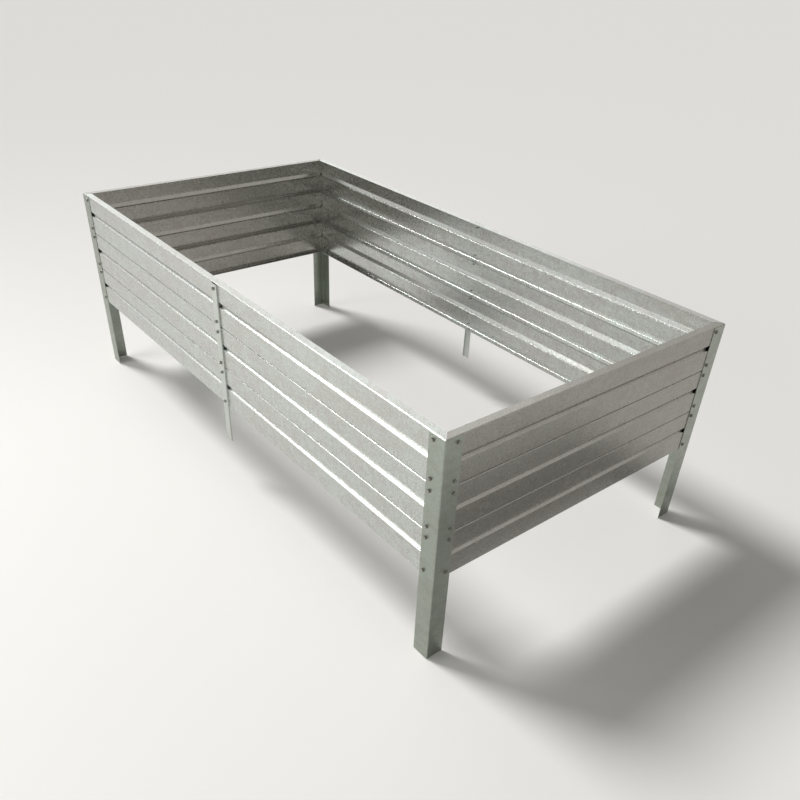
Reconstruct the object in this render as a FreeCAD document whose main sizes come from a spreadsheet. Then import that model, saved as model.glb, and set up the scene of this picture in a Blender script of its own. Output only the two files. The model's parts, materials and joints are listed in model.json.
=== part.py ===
import FreeCAD, Part
import os
import Sketcher

# Raised garden bed of galvanised sheet steel: four angle legs, three folded boards on
# each side, and a short channel stake at the middle of each long side, all screwed.
#
# The origin is the centre of the footprint at ground level.  X runs along the bed, Y
# across it and Z up.  The front is the long side at low Y, the right end is at high X.

doc = FreeCAD.newDocument("raised_bed")

# ---------------------------------------------------------------- driving dimensions

DIMENSIONS = {
    # Outer size over the leg faces.
    "bed_length": 1935.0,
    "bed_width": 1000.0,
    # Leg: an equal angle that reaches the ground.
    "leg_length": 643.0,
    "leg_flange": 50.0,
    "leg_sheet": 1.5,
    "leg_bend": 1.5,
    # Board: a shallow C with its folds turned into the bed and a bead along the middle.
    "board_height": 128.0,
    "board_sheet": 1.0,
    "board_fold": 22.0,
    "board_bend": 1.2,
    "board_gap": 1.5,
    "rim_lift": 2.0,
    "corner_gap": 1.5,
    # Bead: the web is pressed into the bed, steeply from below and gently from above.
    "bead_depth": 7.0,
    "bead_crest": 64.0,
    "bead_above": 12.0,
    "bead_below": 5.0,
    "bead_bend": 1.6,
    # Stake: a channel that stops short of the ground.
    "stake_length": 510.0,
    "stake_width": 28.0,
    "stake_depth": 5.0,
    "stake_sheet": 1.2,
    "stake_bend": 0.8,
    # Self-drilling screw with a hexagon head on a washer face.
    "screw_inset": 37.0,
    "screw_above_edge": 14.0,
    "screw_below_edge": 16.0,
    "screw_diameter": 4.0,
    "screw_reach": 16.0,
    "screw_point": 4.0,
    "screw_washer": 10.5,
    "screw_washer_face": 1.0,
    "screw_hexagon": 8.0,
    "screw_head": 4.5,
    "screw_clearance": 0.3,
}

sizes = doc.addObject("Spreadsheet::Sheet", "sizes")
for row, (alias, number) in enumerate(DIMENSIONS.items(), start=1):
    sizes.set(f"A{row}", alias.replace("_", " "))
    sizes.set(f"B{row}", str(number))
    sizes.setAlias(f"B{row}", alias)
doc.recompute()

TIERS = ("bottom", "middle", "top")
PITCH = "(sizes.board_height + sizes.board_gap)"
STACK_RISE = f"({len(TIERS) - 1} * {PITCH})"
STACK_FOOT = f"(sizes.leg_length + sizes.rim_lift - sizes.board_height - {STACK_RISE})"
SCREW_SPAN = "(sizes.board_height - sizes.screw_above_edge - sizes.screw_below_edge)"
FIRST_SCREW = f"({STACK_FOOT} + sizes.screw_above_edge)"
HOLE_RADIUS = "(sizes.screw_diameter / 2 + sizes.screw_clearance)"
STAKE_FOOT = "(sizes.leg_length - sizes.stake_length)"

# Room that a cut runs past the sheet it trims.
OVERRUN = 1.0
# Two corners closer than this are the same corner.
SAME_PLACE = 1e-4


# ---------------------------------------------------------------- drawing helpers

def origin_feature(body, role):
    """The plane or axis of the body's own origin that has this role."""
    return next(item for item in body.Origin.OriginFeatures if item.Role == role)


def number_of(expression):
    """What an expression in the sheet's names comes to now."""
    return float(sizes.evalExpression(str(expression)))


def new_body(label):
    body = doc.addObject("PartDesign::Body", label)
    body.Label = label
    return body


def new_sketch(body, name, role):
    sketch = body.newObject("Sketcher::SketchObject", name)
    sketch.AttachmentSupport = [(origin_feature(body, role), "")]
    sketch.MapMode = "FlatFace"
    return sketch


def pin_point(sketch, curve, end, across, up):
    """Hold one point of a sketch at two expressions, measured from the origin."""
    for kind, expression, axis in (("DistanceX", across, -2), ("DistanceY", up, -1)):
        value = number_of(expression)
        if abs(value) < SAME_PLACE:
            sketch.addConstraint(Sketcher.Constraint("PointOnObject", curve, end, axis))
            continue
        held = sketch.addConstraint(Sketcher.Constraint(kind, -1, 1, curve, end, value))
        sketch.setExpression(f"Constraints[{held}]", expression)


def draw_outline(sketch, corners):
    """A closed outline of straight lines, each corner given as two expressions."""
    places = [FreeCAD.Vector(number_of(a), number_of(b), 0) for a, b in corners]
    count = len(places)
    for index, place in enumerate(places):
        sketch.addGeometry(Part.LineSegment(place, places[(index + 1) % count]), False)
    for index in range(count):
        following = (index + 1) % count
        sketch.addConstraint(Sketcher.Constraint("Coincident", index, 2, following, 1))
    for index, (across, up) in enumerate(corners):
        pin_point(sketch, index, 1, across, up)


def draw_circles(sketch, radius, centres):
    for across, up in centres:
        centre = FreeCAD.Vector(number_of(across), number_of(up), 0)
        normal = FreeCAD.Vector(0, 0, 1)
        circle = sketch.addGeometry(Part.Circle(centre, normal, number_of(radius)), False)
        pin_point(sketch, circle, 3, across, up)
        held = sketch.addConstraint(Sketcher.Constraint("Radius", circle, number_of(radius)))
        sketch.setExpression(f"Constraints[{held}]", radius)


def pad(body, sketch, name, length, both_ways=False):
    feature = body.newObject("PartDesign::Pad", name)
    feature.Profile = sketch
    feature.SideType = "Symmetric" if both_ways else "One side"
    feature.setExpression("Length", length)
    doc.recompute()
    return feature


def cut_through(body, sketch, name, backwards=False):
    """A pocket through everything on one side of its sketch, which must remove metal."""
    before = body.Shape.Volume
    feature = body.newObject("PartDesign::Pocket", name)
    feature.Profile = sketch
    feature.Type = "ThroughAll"
    feature.Reversed = backwards
    doc.recompute()
    if body.Shape.Volume >= before:
        raise ValueError(f"{body.Label}: {name} removes nothing")
    return feature


def repeat_up_the_stack(body, feature, name):
    """Copy a feature of the lowest board's level to the levels above it."""
    pattern = body.newObject("PartDesign::LinearPattern", name)
    pattern.Originals = [feature]
    pattern.Direction = (origin_feature(body, "Z_Axis"), [""])
    pattern.Occurrences = len(TIERS)
    pattern.setExpression("Length", STACK_RISE)
    body.Tip = pattern
    doc.recompute()
    return pattern


def edges_at(shape, flat_axes, corners):
    """Names of the straight edges that show as one of these corners end on."""
    names = []
    for index, edge in enumerate(shape.Edges, start=1):
        ends = [[getattr(vertex.Point, axis) for axis in flat_axes] for vertex in edge.Vertexes]
        for corner in corners:
            target = [number_of(value) for value in corner]
            gaps = [abs(a - b) for end in ends for a, b in zip(end, target)]
            if max(gaps) < SAME_PLACE:
                names.append(f"Edge{index}")
    return names


def round_bends(body, name, flat_axes, corners, radius):
    feature = body.newObject("PartDesign::Fillet", name)
    base = body.Group[-2]
    feature.Base = (base, edges_at(base.Shape, flat_axes, corners))
    feature.setExpression("Radius", radius)
    doc.recompute()
    return feature


# ---------------------------------------------------------------- places on the bed

# Each side has its own frame: along the side, inward from the leg faces, and up.
# A side's entry is its turn about Z, then world X and Y from those two.
SIDES = {
    "front": (0, "({along})", "(-sizes.bed_width / 2 + ({inward}))"),
    "right": (90, "(sizes.bed_length / 2 - ({inward}))", "({along})"),
    "back": (180, "(-({along}))", "(sizes.bed_width / 2 - ({inward}))"),
    "left": (270, "(-sizes.bed_length / 2 + ({inward}))", "(-({along}))"),
}


def put_on_side(body, side, along, inward, height):
    turn, across, depth = SIDES[side]
    body.Placement.Rotation = FreeCAD.Rotation(FreeCAD.Vector(0, 0, 1), turn)
    places = {"along": along, "inward": inward}
    body.setExpression("Placement.Base.x", across.format(**places))
    body.setExpression("Placement.Base.y", depth.format(**places))
    body.setExpression("Placement.Base.z", height)


def side_length(side):
    return "sizes.bed_length" if side in ("front", "back") else "sizes.bed_width"


# ---------------------------------------------------------------- legs

def screw_pair(along, foot):
    """The two screws that one board takes in a column, as sketch points."""
    low = f"{FIRST_SCREW} - {foot}"
    return [(along, low), (along, f"{low} + {SCREW_SPAN}")]


def make_leg(label, side):
    """An equal angle whose outer corner stands where this side begins."""
    body = new_body(label)
    flange, sheet = "sizes.leg_flange", "sizes.leg_sheet"
    section = new_sketch(body, "leg_section", "XY_Plane")
    draw_outline(section, [
        ("0", "0"), (flange, "0"), (flange, sheet),
        (sheet, sheet), (sheet, flange), ("0", flange),
    ])
    pad(body, section, "leg_blank", "sizes.leg_length")
    flat = ("x", "y")
    round_bends(body, "outer_bend", flat, [("0", "0")], "sizes.leg_bend + sizes.leg_sheet")
    round_bends(body, "inner_bend", flat, [(sheet, sheet)], "sizes.leg_bend")
    for name, plane, backwards in (("long", "XZ_Plane", False), ("short", "YZ_Plane", True)):
        drilling = new_sketch(body, f"{name}_drilling", plane)
        draw_circles(drilling, HOLE_RADIUS, screw_pair("sizes.screw_inset", "0"))
        holes = cut_through(body, drilling, f"{name}_holes", backwards)
        repeat_up_the_stack(body, holes, f"{name}_hole_rows")
    put_on_side(body, side, f"-{side_length(side)} / 2", "0", "0")
    return body


# ---------------------------------------------------------------- boards

def board_corners():
    """The board's section as (inward, up) corners: the outer face, then back inside.

    Returns the outline, then the corners of the edge and bead bends that are rounded
    on the outside of the turn and those that are rounded on its inside.
    """
    sheet, fold, top = "sizes.board_sheet", "sizes.board_fold", "sizes.board_height"
    depth, crest = "sizes.bead_depth", "sizes.bead_crest"
    above, below = "sizes.bead_above", "sizes.bead_below"
    # Lengths of the two slopes of the bead, and the inner skin one sheet away from them.
    slope_above = f"sqrt({above} * {above} + {depth} * {depth})"
    slope_below = f"sqrt({below} * {below} + {depth} * {depth})"
    inner_depth = f"({depth} + {sheet} * ({slope_above} + {slope_below}) / ({above} + {below}))"
    inner_high = f"({crest} + {above} + {sheet} * ({slope_above} - {above}) / {depth})"
    inner_low = f"({crest} - {below} - {sheet} * ({slope_below} - {below}) / {depth})"
    inner_crest = f"({crest} + {above} + ({sheet} * {slope_above} - {above} * {inner_depth}) / {depth})"
    outer_edges = [("0", "0"), ("0", top)]
    inner_edges = [(sheet, sheet), (sheet, f"{top} - {sheet}")]
    outer_bead = [("0", f"{crest} - {below}"), (depth, crest), ("0", f"{crest} + {above}")]
    inner_bead = [(sheet, inner_high), (inner_depth, inner_crest), (sheet, inner_low)]
    outline = [
        (fold, "0"), outer_edges[0], *outer_bead, outer_edges[1], (fold, top),
        (fold, f"{top} - {sheet}"), inner_edges[1], *inner_bead, inner_edges[0],
        (fold, sheet),
    ]
    outside = [outer_bead[0], outer_bead[2], inner_bead[1]]
    inside = [inner_bead[0], inner_bead[2], outer_bead[1]]
    return outline, outer_edges, inner_edges, outside, inside


def make_board(label, side, tier):
    body = new_body(label)
    length = f"({side_length(side)} - 2 * sizes.leg_sheet)"
    outline, outer_edges, inner_edges, bead_outside, bead_inside = board_corners()
    section = new_sketch(body, "board_section", "YZ_Plane")
    draw_outline(section, outline)
    pad(body, section, "folded_sheet", length, both_ways=True)
    flat = ("y", "z")
    outer_bend = "sizes.board_bend + sizes.board_sheet"
    round_bends(body, "outer_edge_bends", flat, outer_edges, outer_bend)
    round_bends(body, "inner_edge_bends", flat, inner_edges, "sizes.board_bend")
    bead_outer_bend = "sizes.bead_bend + sizes.board_sheet"
    round_bends(body, "bead_bends_outside", flat, bead_outside, bead_outer_bend)
    round_bends(body, "bead_bends_inside", flat, bead_inside, "sizes.bead_bend")

    # Each end is mitred so that the folds of two sides meet along the corner's diagonal.
    mitre = new_sketch(body, "mitre", "XY_Plane")
    tip = f"({length} / 2 - sizes.corner_gap)"
    deep = f"(sizes.board_fold + {OVERRUN})"
    beyond = f"({length} / 2 + {OVERRUN})"
    draw_outline(mitre, [
        (f"{tip} + {OVERRUN}", f"-{OVERRUN}"), (beyond, f"-{OVERRUN}"),
        (beyond, deep), (f"{tip} - {deep}", deep),
    ])
    end_cut = cut_through(body, mitre, "mitre_cut", backwards=True)
    other_end = body.newObject("PartDesign::Mirrored", "other_mitre_cut")
    other_end.Originals = [end_cut]
    other_end.MirrorPlane = (origin_feature(body, "YZ_Plane"), [""])
    body.Tip = other_end
    doc.recompute()

    columns = [f"({side_length(side)} / 2 - sizes.screw_inset)"]
    columns.append(f"-{columns[0]}")
    if side in STAKED_SIDES:
        columns.append("0")
    drilling = new_sketch(body, "drilling", "XZ_Plane")
    low = "sizes.screw_above_edge"
    heights = (low, f"{low} + {SCREW_SPAN}")
    draw_circles(drilling, HOLE_RADIUS, [(x, z) for x in columns for z in heights])
    cut_through(body, drilling, "screw_holes")
    put_on_side(body, side, "0", "sizes.leg_sheet", f"{STACK_FOOT} + {tier} * {PITCH}")
    return body


# ---------------------------------------------------------------- stakes

STAKED_SIDES = ("front", "back")
STAKE_FACE = "(sizes.leg_sheet - sizes.stake_depth)"


def make_stake(label, side):
    """A channel with its lips on the boards, its web standing off them."""
    body = new_body(label)
    half, depth, sheet = "sizes.stake_width / 2", "sizes.stake_depth", "sizes.stake_sheet"
    inner = f"({half} - {sheet})"
    outer_corners = [(f"-{half}", "0"), (half, "0")]
    inner_corners = [(inner, sheet), (f"-{inner}", sheet)]
    section = new_sketch(body, "stake_section", "XY_Plane")
    draw_outline(section, [
        *outer_corners, (half, depth), (inner, depth),
        *inner_corners, (f"-{inner}", depth), (f"-{half}", depth),
    ])
    pad(body, section, "stake_blank", "sizes.stake_length")
    flat = ("x", "y")
    outer_bend = "sizes.stake_bend + sizes.stake_sheet"
    round_bends(body, "outer_bends", flat, outer_corners, outer_bend)
    round_bends(body, "inner_bends", flat, inner_corners, "sizes.stake_bend")
    drilling = new_sketch(body, "drilling", "XZ_Plane")
    draw_circles(drilling, HOLE_RADIUS, screw_pair("0", STAKE_FOOT))
    holes = cut_through(body, drilling, "screw_holes")
    repeat_up_the_stack(body, holes, "screw_hole_rows")
    put_on_side(body, side, "0", STAKE_FACE, STAKE_FOOT)
    return body


# ---------------------------------------------------------------- screws

def make_screws(label, side, along, inward):
    """A column of screws, two to a board, driven inward from the given depth."""
    body = new_body(label)
    body.AllowCompound = True
    shank, washer = "sizes.screw_diameter / 2", "sizes.screw_washer / 2"
    shoulder = "sizes.screw_reach - sizes.screw_point"
    turned = new_sketch(body, "turned_outline", "XY_Plane")
    draw_outline(turned, [
        ("0", "-sizes.screw_washer_face"), (washer, "-sizes.screw_washer_face"),
        (washer, "0"), (shank, "0"), (shank, shoulder), ("0", "sizes.screw_reach"),
    ])
    stem = body.newObject("PartDesign::Revolution", "washer_and_stem")
    stem.Profile = turned
    stem.ReferenceAxis = (turned, ["V_Axis"])
    doc.recompute()

    hexagon = new_sketch(body, "hexagon", "XZ_Plane")
    flat, corner = "sizes.screw_hexagon / 2", "sizes.screw_hexagon / sqrt(3)"
    draw_outline(hexagon, [
        (flat, f"-{corner} / 2"), (flat, f"{corner} / 2"), ("0", corner),
        (f"-{flat}", f"{corner} / 2"), (f"-{flat}", f"-{corner} / 2"), ("0", f"-{corner}"),
    ])
    head = pad(body, hexagon, "head", "sizes.screw_head")

    rows = body.newObject("PartDesign::MultiTransform", "rows")
    rows.Originals = [stem, head]
    steps = []
    for name, count, length in (("pair", 2, SCREW_SPAN), ("levels", len(TIERS), STACK_RISE)):
        step = body.newObject("PartDesign::LinearPattern", name)
        step.Direction = (origin_feature(body, "Z_Axis"), [""])
        step.Occurrences = count
        step.setExpression("Length", length)
        steps.append(step)
    rows.Transformations = steps
    body.Tip = rows
    doc.recompute()
    put_on_side(body, side, along, inward, FIRST_SCREW)
    return body


# ---------------------------------------------------------------- the assembly

# The corner that each side's own frame begins at, going round the bed.
CORNERS = {"front": "front_left", "right": "front_right", "back": "back_right", "left": "back_left"}

pieces = []
for side, corner in CORNERS.items():
    pieces.append(make_leg(f"{corner}_leg", side))
for side in SIDES:
    for tier, level in enumerate(TIERS):
        pieces.append(make_board(f"{side}_board_{level}", side, tier))
for side in STAKED_SIDES:
    pieces.append(make_stake(f"{side}_stake", side))
    pieces.append(make_screws(f"{side}_stake_screws", side, "0", STAKE_FACE))
for side in SIDES:
    reach = f"({side_length(side)} / 2 - sizes.screw_inset)"
    next_side = {"front": "right", "right": "back", "back": "left", "left": "front"}[side]
    for corner, along in ((CORNERS[side], f"-{reach}"), (CORNERS[next_side], reach)):
        pieces.append(make_screws(f"{corner}_leg_screws_{side}", side, along, "0"))
doc.recompute()

# ---------------------------------------------------------------- checks and files

for item in doc.Objects:
    if "Invalid" in item.State or "Error" in item.State:
        raise ValueError(f"{item.Label} failed: {item.State}")
for piece in pieces:
    wanted = 2 * len(TIERS) if "screws" in piece.Label else 1
    if piece.Shape.isNull() or not piece.Shape.isValid():
        raise ValueError(f"{piece.Label} has no valid shape")
    if len(piece.Shape.Solids) != wanted:
        raise ValueError(f"{piece.Label} has {len(piece.Shape.Solids)} solids, not {wanted}")

os.makedirs("parts", exist_ok=True)
for piece in pieces:
    piece.Shape.exportStep(f"parts/{piece.Label}.step")
    box = piece.Shape.BoundBox
    print(f"{piece.Label}: {piece.Shape.Volume:.0f} mm3, z {box.ZMin:.1f} to {box.ZMax:.1f}")
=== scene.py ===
import json
import math

import bpy
from mathutils import Euler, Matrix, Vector

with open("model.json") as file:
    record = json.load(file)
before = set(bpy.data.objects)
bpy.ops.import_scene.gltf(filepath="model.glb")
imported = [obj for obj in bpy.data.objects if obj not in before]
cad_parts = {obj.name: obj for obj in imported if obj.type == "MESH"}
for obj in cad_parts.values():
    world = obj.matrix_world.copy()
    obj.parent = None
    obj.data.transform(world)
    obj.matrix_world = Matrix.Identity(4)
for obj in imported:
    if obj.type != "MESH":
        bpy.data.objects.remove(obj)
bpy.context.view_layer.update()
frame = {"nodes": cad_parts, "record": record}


# ---------------------------------------------------------------- settings

# The boards are stacked from this height, each with the gap above it, in metres.
BOARD_BASE = 0.258
BOARD_PITCH = 0.1295
# How far the pattern moves along the sheet from one board to the next, in metres.
BOARD_SHIFT = 3.71

# Each finish: colour of the cool and of the warm clouds, colour of the soiled grain,
# lowest and highest roughness, and how strongly it is mottled.
FINISHES = {
    "board_zinc": {
        "cool": (0.60, 0.64, 0.615, 1.0), "warm": (0.56, 0.555, 0.535, 1.0),
        "soiled": (0.36, 0.36, 0.34, 1.0), "rough": (0.24, 0.34), "mottle": 1.0,
    },
    # The end boards' zinc is the board zinc made darker and browner: painted shade on the faces
    # turned to the ends of the bed, whose darkness comes from light, not from another sheet.
    "end_board_painted_shade_zinc": {
        "cool": (0.37, 0.362, 0.338, 1.0), "warm": (0.35, 0.335, 0.305, 1.0),
        "soiled": (0.26, 0.25, 0.23, 1.0), "rough": (0.24, 0.34), "mottle": 1.0,
    },
    "leg_zinc": {
        "cool": (0.36, 0.395, 0.355, 1.0), "warm": (0.325, 0.345, 0.30, 1.0),
        "soiled": (0.22, 0.225, 0.19, 1.0), "rough": (0.30, 0.40), "mottle": 0.6,
    },
    "stake_zinc": {
        "cool": (0.56, 0.60, 0.57, 1.0), "warm": (0.54, 0.56, 0.52, 1.0),
        "soiled": (0.36, 0.36, 0.34, 1.0), "rough": (0.32, 0.42), "mottle": 0.5,
    },
    "screw_steel": {
        "cool": (0.34, 0.34, 0.32, 1.0), "warm": (0.26, 0.25, 0.23, 1.0),
        "soiled": (0.36, 0.36, 0.34, 1.0), "rough": (0.22, 0.34), "mottle": 0.4,
    },
}
END_BOARDS = ("left_board", "right_board")

FLOOR_REACH = 60.0
FLOOR_DROP = 0.001
FLOOR_COLOUR = (0.92, 0.905, 0.88, 1.0)
BACKDROP_COLOUR = (1.0, 0.985, 0.96, 1.0)
BACKDROP_STRENGTH = 0.80
FILL_STRENGTH = 0.20

CAMERA_LENS = 34.86
CAMERA_SHIFT = (-0.0131, 0.1011)
CAMERA_PLACE = (1.8987, -1.4004, 1.4845)
CAMERA_TURN = (53.891, -2.744, 50.84)

COOL_LIGHT = (0.97, 1.0, 0.98)
NEUTRAL_LIGHT = (1.0, 1.0, 1.0)
SOFTBOX_PLACE = (-1.1, -3.5, 1.1)
SOFTBOX_TARGET = (0.1, 0, 0.35)
SOFTBOX_SIZE = 2.4
SOFTBOX_POWER = 62
# Each sun: name, azimuth from +X towards +Y, elevation, strength, angular size, colour.
SUNS = (
    ("key", 198, 48, 2.3, 18, NEUTRAL_LIGHT),
    ("side", 156, 24, 0.35, 54, COOL_LIGHT),
)


# ---------------------------------------------------------------- node helpers

class Shader:
    """A short way to write a node tree: each call adds a node and returns its output."""

    def __init__(self, name):
        self.material = bpy.data.materials.new(name)
        self.material.use_nodes = True
        self.tree = self.material.node_tree
        self.tree.nodes.clear()
        self.out = self.tree.nodes.new("ShaderNodeOutputMaterial")

    def node(self, kind, **settings):
        made = self.tree.nodes.new(kind)
        for key, value in settings.items():
            setattr(made, key, value)
        return made

    def wire(self, source, socket):
        if isinstance(source, (int, float, tuple)):
            socket.default_value = source
        else:
            self.tree.links.new(source, socket)

    def finish(self, surface):
        self.tree.links.new(surface.outputs[0], self.out.inputs["Surface"])
        return self.material

    def math(self, operation, *sources):
        made = self.node("ShaderNodeMath", operation=operation)
        for socket, source in zip(made.inputs, sources):
            self.wire(source, socket)
        return made.outputs[0]

    def band(self, value, low, high, start=0.0, end=1.0):
        """A smooth step from start to end as the value goes from low to high."""
        made = self.node("ShaderNodeMapRange", interpolation_type="SMOOTHSTEP")
        for name, source in (("Value", value), ("From Min", low), ("From Max", high),
                             ("To Min", start), ("To Max", end)):
            self.wire(source, made.inputs[name])
        return made.outputs[0]

    def stretch(self, where, scale):
        made = self.node("ShaderNodeMapping")
        self.wire(where, made.inputs["Vector"])
        self.wire(scale, made.inputs["Scale"])
        return made.outputs[0]

    def noise(self, where, scale, detail, roughness):
        made = self.node("ShaderNodeTexNoise")
        self.wire(where, made.inputs["Vector"])
        self.wire(scale, made.inputs["Scale"])
        self.wire(detail, made.inputs["Detail"])
        self.wire(roughness, made.inputs["Roughness"])
        return made.outputs["Fac"]

    def cells(self, where, scale):
        """One random tone for each cell."""
        made = self.node("ShaderNodeTexVoronoi")
        self.wire(where, made.inputs["Vector"])
        self.wire(scale, made.inputs["Scale"])
        tone = self.node("ShaderNodeSeparateColor")
        self.wire(made.outputs["Color"], tone.inputs[0])
        return tone.outputs[0]

    def mix(self, share, a, b):
        made = self.node("ShaderNodeMix", data_type="RGBA")
        self.wire(share, made.inputs["Factor"])
        self.wire(a, made.inputs["A"])
        self.wire(b, made.inputs["B"])
        return made.outputs["Result"]

    def bump(self, height, strength, distance, below=None):
        made = self.node("ShaderNodeBump")
        self.wire(strength, made.inputs["Strength"])
        self.wire(distance, made.inputs["Distance"])
        self.wire(height, made.inputs["Height"])
        if below is not None:
            self.wire(below, made.inputs["Normal"])
        return made.outputs[0]


# ---------------------------------------------------------------- materials

def sheet_place(s):
    """Metres along the sheet, across it and up it, with every board shifted on its own."""
    parts = s.node("ShaderNodeSeparateXYZ")
    s.wire(s.node("ShaderNodeTexCoord").outputs["Object"], parts.inputs[0])
    x, y, z = parts.outputs
    boards_up = s.math("DIVIDE", s.math("SUBTRACT", z, BOARD_BASE), BOARD_PITCH)
    along = s.math("MULTIPLY_ADD", s.math("FLOOR", boards_up), BOARD_SHIFT, s.math("ADD", x, y))
    joined = s.node("ShaderNodeCombineXYZ")
    s.wire(along, joined.inputs[0])
    s.wire(s.math("SUBTRACT", x, y), joined.inputs[1])
    s.wire(z, joined.inputs[2])
    return joined.outputs[0]


def zinc(name, cool, warm, soiled, rough, mottle):
    """Galvanised sheet: crystals, cool and warm clouds, rolling lines and fine grain."""
    s = Shader(name)
    where = sheet_place(s)
    crystal = s.cells(s.stretch(where, (1.0, 0.2, 1.0)), 110.0)
    cloud = s.noise(s.stretch(where, (0.55, 0.2, 1.0)), 42.0, 4.0, 0.62)
    broad = s.noise(s.stretch(where, (0.5, 0.2, 1.6)), 5.0, 2.0, 0.5)
    grain = s.noise(where, 260.0, 3.0, 0.8)
    rolled = s.noise(s.stretch(where, (3.0, 3.0, 420.0)), 1.0, 3.0, 0.6)
    combed = s.noise(s.stretch(where, (260.0, 20.0, 14.0)), 1.0, 2.0, 0.6)

    warmth = s.math("ADD", s.band(cloud, 0.30, 0.70), s.math("MULTIPLY", crystal, 0.26 * mottle))
    warmth = s.math("ADD", warmth, s.band(broad, 0.3, 0.7, -0.25, 0.25))
    soil = s.math("ADD", s.band(rolled, 0.50, 0.75, 0.0, 0.20 * mottle),
                  s.band(grain, 0.44, 0.64, 0.0, 0.80 * mottle))
    soil = s.math("ADD", soil, s.band(combed, 0.50, 0.75, 0.0, 0.20 * mottle))
    dullness = s.math("ADD", s.math("MULTIPLY", cloud, 0.5), s.math("MULTIPLY", crystal, 0.12))
    dullness = s.math("ADD", dullness, s.math("MULTIPLY", grain, 0.25))
    relief = s.bump(grain, 0.20, 0.0004)
    relief = s.bump(combed, 0.12, 0.0004, relief)
    relief = s.bump(crystal, 0.02, 0.0002, relief)
    relief = s.bump(broad, 0.14, 0.004, relief)

    surface = s.node("ShaderNodeBsdfPrincipled")
    s.wire(s.mix(soil, s.mix(s.band(warmth, 0.1, 1.2), cool, warm), soiled),
           surface.inputs["Base Color"])
    s.wire(1.0, surface.inputs["Metallic"])
    s.wire(s.band(dullness, 0.3, 0.7, *rough), surface.inputs["Roughness"])
    s.wire(relief, surface.inputs["Normal"])
    return s.finish(surface)


MATERIALS = {key: zinc(key.replace("_", " "), **finish) for key, finish in FINISHES.items()}
SLOT_OF = {row["node"]: row["material_slot"] for row in frame["record"]["subparts"]}

for name, node in frame["nodes"].items():
    # The end boards take the darker copy of the board zinc in place of their own board zinc,
    # which paints shade onto them.
    finish = "end_board_painted_shade_zinc" if name.startswith(END_BOARDS) else SLOT_OF[name]
    node.data.materials.clear()
    node.data.materials.append(MATERIALS[finish])


# ---------------------------------------------------------------- floor, light and camera

def link(thing):
    bpy.context.scene.collection.objects.link(thing)


def make_floor():
    mesh = bpy.data.meshes.new("floor")
    corners = [(-FLOOR_REACH, -FLOOR_REACH, 0), (FLOOR_REACH, -FLOOR_REACH, 0),
               (FLOOR_REACH, FLOOR_REACH, 0), (-FLOOR_REACH, FLOOR_REACH, 0)]
    mesh.from_pydata(corners, [], [(0, 1, 2, 3)])
    floor = bpy.data.objects.new("floor", mesh)
    link(floor)
    floor.location.z = -FLOOR_DROP
    s = Shader("floor white")
    surface = s.node("ShaderNodeBsdfDiffuse")
    s.wire(FLOOR_COLOUR, surface.inputs["Color"])
    mesh.materials.append(s.finish(surface))


def make_camera():
    data = bpy.data.cameras.new("camera")
    data.lens = CAMERA_LENS
    data.shift_x, data.shift_y = CAMERA_SHIFT
    camera = bpy.data.objects.new("camera", data)
    camera.location = CAMERA_PLACE
    camera.rotation_euler = Euler([math.radians(angle) for angle in CAMERA_TURN])
    link(camera)
    bpy.context.scene.camera = camera


def make_softbox():
    """A square lamp low at the front left, aimed at the long side."""
    data = bpy.data.lights.new("front softbox", "AREA")
    data.size = SOFTBOX_SIZE
    data.energy = SOFTBOX_POWER
    data.color = COOL_LIGHT
    lamp = bpy.data.objects.new("front softbox", data)
    lamp.location = SOFTBOX_PLACE
    aim = Vector(SOFTBOX_TARGET) - Vector(SOFTBOX_PLACE)
    lamp.rotation_euler = aim.to_track_quat("-Z", "Y").to_euler()
    lamp.visible_camera = False
    link(lamp)


def make_sun(name, azimuth, elevation, strength, size, colour):
    """A broad distant lamp, azimuth counted from +X towards +Y."""
    data = bpy.data.lights.new(name, "SUN")
    data.energy = strength
    data.angle = math.radians(size)
    data.color = colour
    lamp = bpy.data.objects.new(name, data)
    turn, rise = math.radians(azimuth), math.radians(elevation)
    level = math.cos(rise)
    towards = Vector((math.cos(turn) * level, math.sin(turn) * level, math.sin(rise)))
    lamp.rotation_euler = towards.to_track_quat("Z", "Y").to_euler()
    link(lamp)


def make_world():
    """Dim light for the floor, and a pale backdrop where the camera or a reflection looks."""
    world = bpy.data.worlds.new("studio")
    bpy.context.scene.world = world
    world.use_nodes = True
    tree = world.node_tree
    rays = tree.nodes.new("ShaderNodeLightPath")
    seen = rays.outputs["Is Camera Ray"]
    for ray in ("Is Glossy Ray", "Is Transmission Ray"):
        either = tree.nodes.new("ShaderNodeMath")
        either.operation = "MAXIMUM"
        tree.links.new(seen, either.inputs[0])
        tree.links.new(rays.outputs[ray], either.inputs[1])
        seen = either.outputs[0]
    level = tree.nodes.new("ShaderNodeMapRange")
    tree.links.new(seen, level.inputs["Value"])
    level.inputs["To Min"].default_value = FILL_STRENGTH
    level.inputs["To Max"].default_value = BACKDROP_STRENGTH
    background = tree.nodes["Background"]
    background.inputs["Color"].default_value = BACKDROP_COLOUR
    tree.links.new(level.outputs[0], background.inputs["Strength"])


make_floor()
make_camera()
make_world()
make_softbox()
for sun in SUNS:
    make_sun(*sun)
bpy.context.scene.view_settings.view_transform = "Standard"
